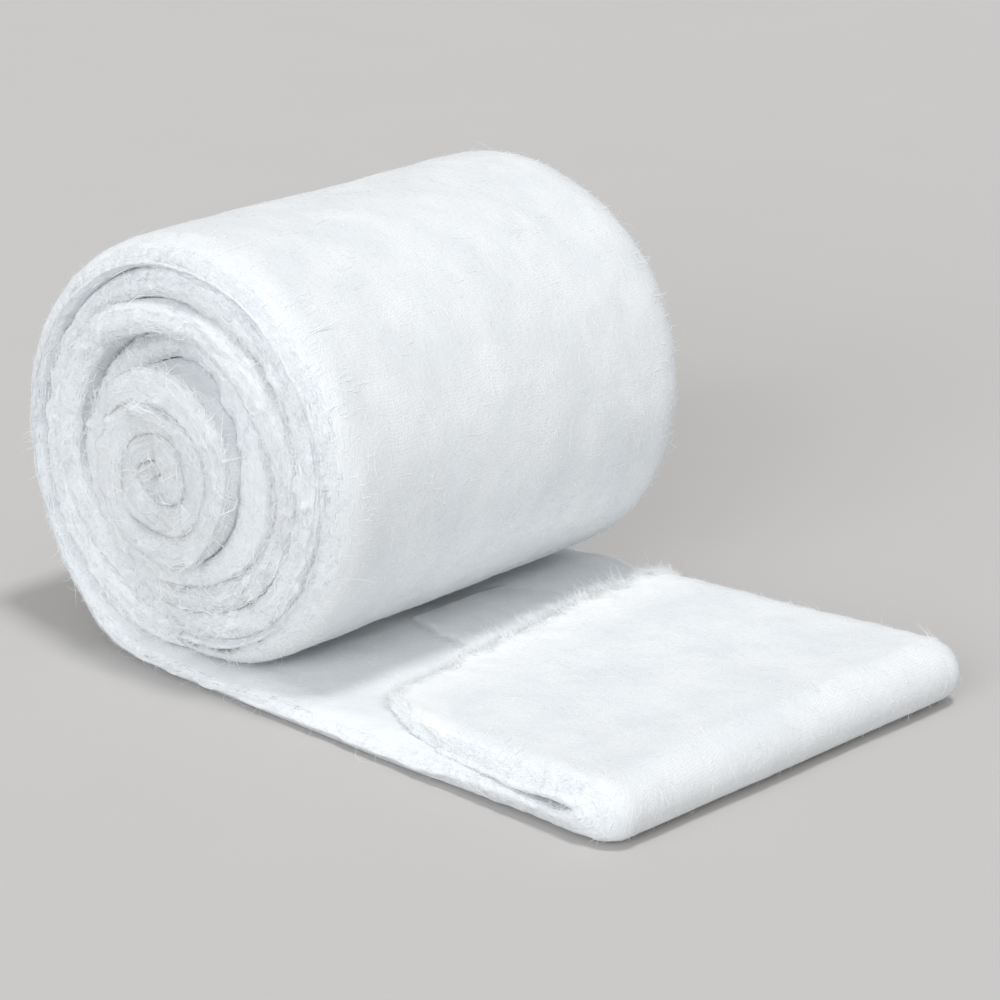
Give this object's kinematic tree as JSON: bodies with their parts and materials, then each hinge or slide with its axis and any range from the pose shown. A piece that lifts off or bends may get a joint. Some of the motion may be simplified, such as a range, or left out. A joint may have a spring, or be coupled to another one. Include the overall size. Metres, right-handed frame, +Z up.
{
  "type": "gamgee roll",
  "caption": "Roll of absorbent cotton wool padding in a thin gauze cover, lying on its side, with its loose end laid out flat, folded back on itself and torn off.",
  "frame": {"origin": "on the floor under the roll's axis, halfway along the roll's width", "axes": "+X along the loose end, away from the roll; +Y along the roll's axis; +Z up"},
  "size_m": [0.3283, 0.218, 0.1769],
  "materials": {
    "cotton": "matte"
  },
  "bodies": {
    "root": {"wadding_strip": "cotton"}
  },
  "joints": []
}
